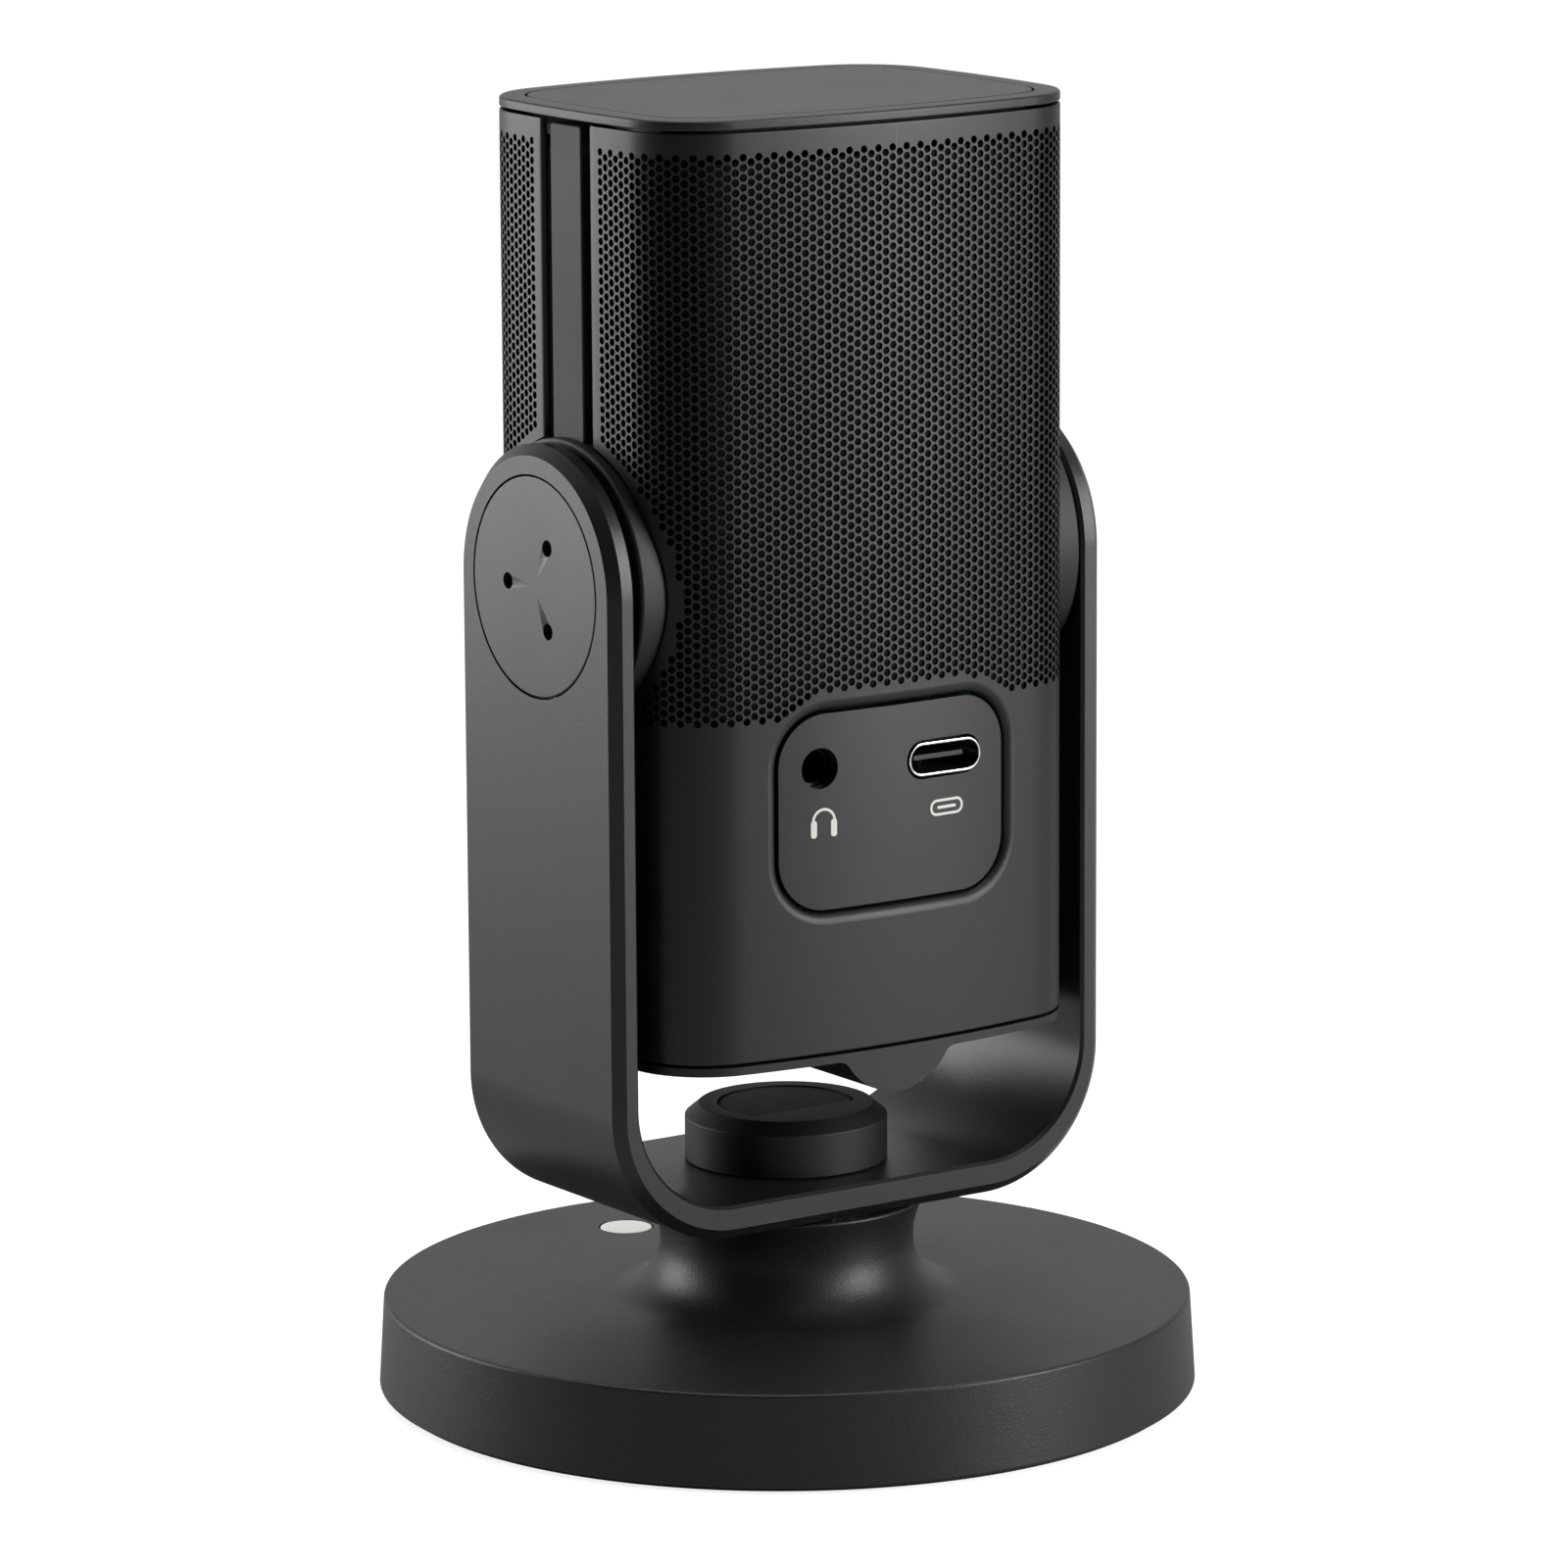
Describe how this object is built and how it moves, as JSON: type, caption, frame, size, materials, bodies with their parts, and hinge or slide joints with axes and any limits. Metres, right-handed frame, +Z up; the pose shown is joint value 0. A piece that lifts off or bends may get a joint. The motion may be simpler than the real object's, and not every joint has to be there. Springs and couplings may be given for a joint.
{
  "type": "desktop microphone",
  "caption": "Squarish desktop microphone with perforated metal skin, hung in a U-shaped yoke that swivels on and lifts off a heavy round magnetic base.",
  "frame": {"origin": "centre of the foot pad's underside, on the table", "axes": "+Z up; the front with the volume knob faces -Y, the sockets face +Y, and the pivots of the yoke lie along X"},
  "size_m": [0.089, 0.089, 0.141],
  "materials": {
    "base_paint": "fine-grain satin dark grey paint",
    "foot_rubber": "matt black rubber",
    "marker_cream": "cream inlay",
    "magnet_steel": "plated",
    "stud_steel": "turned",
    "yoke_paint": "fine-grain satin dark grey paint",
    "boss_plastic": "matt black",
    "pad_rubber": "fine stipple",
    "insert_brass": "turned",
    "pivot_cap_paint": "fine-grain satin dark grey paint",
    "axle_steel": "turned",
    "washer_plastic": "nylon",
    "rail_plastic": "matt dark grey",
    "grille_paint": "satin near-black paint on perforated steel",
    "cap_paint": "fine-grain satin dark grey paint",
    "panel_plastic": "matt dark grey",
    "bottom_plastic": "matt near-black",
    "socket_plastic": "black",
    "usb_metal": "plated",
    "chassis_plastic": "moulded",
    "board_green": "solder mask",
    "screw_steel": "plated",
    "mount_rubber": "soft",
    "capsule_brass": "plated",
    "foam_dark": "open-cell foam",
    "knob_plastic": "matt dark grey"
  },
  "bodies": {
    "base": {"base_weight": "base_paint", "foot_pad": "foot_rubber", "front_marker": "marker_cream", "stand_magnet": "magnet_steel", "stand_stud": "stud_steel"},
    "keeper": {"keeper_ring": "magnet_steel"},
    "yoke": {"yoke": "yoke_paint", "thread_insert": "insert_brass", "yoke_boss": "boss_plastic", "boss_pad": "pad_rubber", "pivot_cap_left": "pivot_cap_paint", "pivot_cap_right": "pivot_cap_paint"},
    "head": {"pivot_axle_left": "axle_steel", "pivot_axle_right": "axle_steel", "friction_washer_left": "washer_plastic", "friction_washer_right": "washer_plastic", "side_rail_left": "rail_plastic", "side_rail_right": "rail_plastic", "shell_front": "grille_paint", "shell_rear": "grille_paint", "top_cap": "cap_paint", "top_panel": "cap_paint", "bottom_cap": "bottom_plastic", "rear_panel": "panel_plastic", "headphone_socket": "socket_plastic", "usb_shell": "usb_metal", "usb_tongue": "socket_plastic", "chassis": "chassis_plastic", "main_board": "board_green", "board_screw_1": "screw_steel", "board_screw_2": "screw_steel", "board_screw_3": "screw_steel", "board_screw_4": "screw_steel", "capsule_bracket": "chassis_plastic", "capsule_ring": "mount_rubber", "capsule_body": "capsule_brass", "diaphragm": "capsule_brass", "foam_front": "foam_dark", "foam_rear": "foam_dark", "control_body": "socket_plastic"},
    "plunger": {"control_plunger": "socket_plastic"},
    "knob": {"control_shaft": "screw_steel", "volume_knob": "knob_plastic"}
  },
  "joints": [
    {"name": "stand_lift", "type": "slide", "parent": "base", "child": "keeper", "axis": [0, 0, 1], "range_m": [0, 0.012]},
    {"name": "yoke_swivel", "type": "hinge", "parent": "keeper", "child": "yoke", "pos_m": [0, 0, 0.0214], "axis": [0, 0, 1], "continuous": true},
    {"name": "head_tilt", "type": "hinge", "parent": "yoke", "child": "head", "pos_m": [0, 0, 0.09105], "axis": [1, 0, 0], "continuous": true},
    {"name": "monitor_push", "type": "slide", "parent": "head", "child": "plunger", "axis": [0, 1, 0], "range_m": [0, 0.0005], "stiffness_N_per_m": 3000, "springref_m": -0.0003},
    {"name": "volume_turn", "type": "hinge", "parent": "plunger", "child": "knob", "pos_m": [0, -0.0212, 0.0441], "axis": [0, 1, 0], "range_deg": [-140, 140]}
  ]
}
